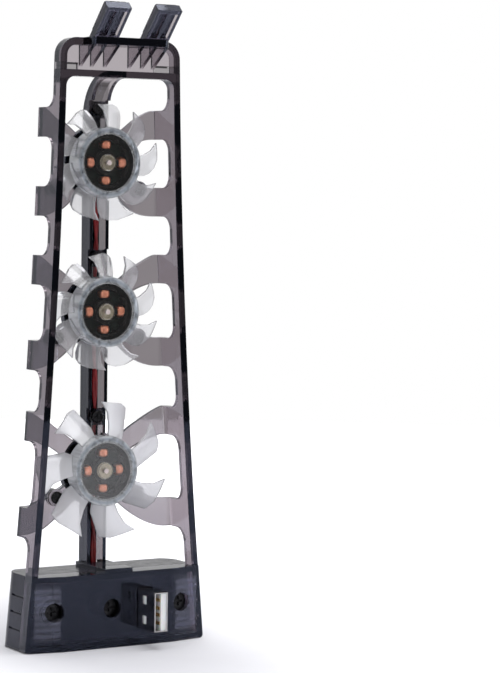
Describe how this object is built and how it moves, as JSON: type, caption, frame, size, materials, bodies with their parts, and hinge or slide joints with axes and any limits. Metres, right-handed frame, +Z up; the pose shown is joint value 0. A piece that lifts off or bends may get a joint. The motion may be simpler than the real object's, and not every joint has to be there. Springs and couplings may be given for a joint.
{
  "type": "console cooling fan",
  "caption": "Upright plug-in cooling stand for a game console: a tapering smoky frame with a column of small fans, two foam-lined hooks and a base with plug, socket and push button.",
  "frame": {"origin": "centre of the base's underside", "axes": "+Z up, -Y towards the front with the plug, +X to the right seen from the front"},
  "size_m": [0.0618, 0.0352, 0.1949],
  "materials": {
    "smoke_plastic": "translucent smoky grey moulding",
    "navy_plastic": "dark translucent navy black moulding",
    "foam": "matt black foam",
    "black_screw": "black oxide",
    "steel": "drawn sheet",
    "white_plastic": "white moulding",
    "contact_gold": "plated strip",
    "board": "printed circuit board",
    "black_plastic": "fine matt moulding",
    "red_lead": "insulated wire",
    "black_lead": "insulated wire",
    "clear_plastic": "clear moulding",
    "core": "coated laminations",
    "copper": "enamelled copper winding",
    "brass": "sintered sleeve",
    "magnet": "bonded magnet"
  },
  "bodies": {
    "stand": {"frame": "smoke_plastic", "base_housing": "navy_plastic", "spine_strip": "foam", "hub_pads": "foam", "hook_pads": "foam", "fan_screws": "black_screw", "base_screws": "black_screw", "plug_shell": "steel", "plug_tongue": "white_plastic", "plug_contacts": "contact_gold", "socket_shell": "steel", "socket_tongue": "white_plastic", "socket_contacts": "contact_gold", "main_board": "board", "switch_body": "black_plastic", "button_bezel": "black_plastic", "lead_red": "red_lead", "lead_black": "black_lead", "motor_base_top": "clear_plastic", "motor_board_top": "board", "stator_core_top": "core", "coils_top": "copper", "bearing_sleeve_top": "brass", "motor_base_middle": "clear_plastic", "motor_board_middle": "board", "stator_core_middle": "core", "coils_middle": "copper", "bearing_sleeve_middle": "brass", "motor_base_bottom": "clear_plastic", "motor_board_bottom": "board", "stator_core_bottom": "core", "coils_bottom": "copper", "bearing_sleeve_bottom": "brass"},
    "top_rotor": {"rotor_top": "clear_plastic", "magnet_ring_top": "magnet", "shaft_top": "steel"},
    "middle_rotor": {"rotor_middle": "clear_plastic", "magnet_ring_middle": "magnet", "shaft_middle": "steel"},
    "bottom_rotor": {"rotor_bottom": "clear_plastic", "magnet_ring_bottom": "magnet", "shaft_bottom": "steel"},
    "power_button": {"button_cap": "black_plastic"}
  },
  "joints": [
    {"name": "top_rotor_spin", "type": "hinge", "parent": "stand", "child": "top_rotor", "pos_m": [0, 0, 0.1475], "axis": [0, 1, 0], "continuous": true},
    {"name": "middle_rotor_spin", "type": "hinge", "parent": "stand", "child": "middle_rotor", "pos_m": [0, 0, 0.1019], "axis": [0, 1, 0], "continuous": true},
    {"name": "bottom_rotor_spin", "type": "hinge", "parent": "stand", "child": "bottom_rotor", "pos_m": [0, 0, 0.053], "axis": [0, 1, 0], "continuous": true},
    {"name": "power_button_press", "type": "slide", "parent": "stand", "child": "power_button", "axis": [0, -1, 0], "range_m": [0, 0.0012], "stiffness_N_per_m": 800}
  ]
}
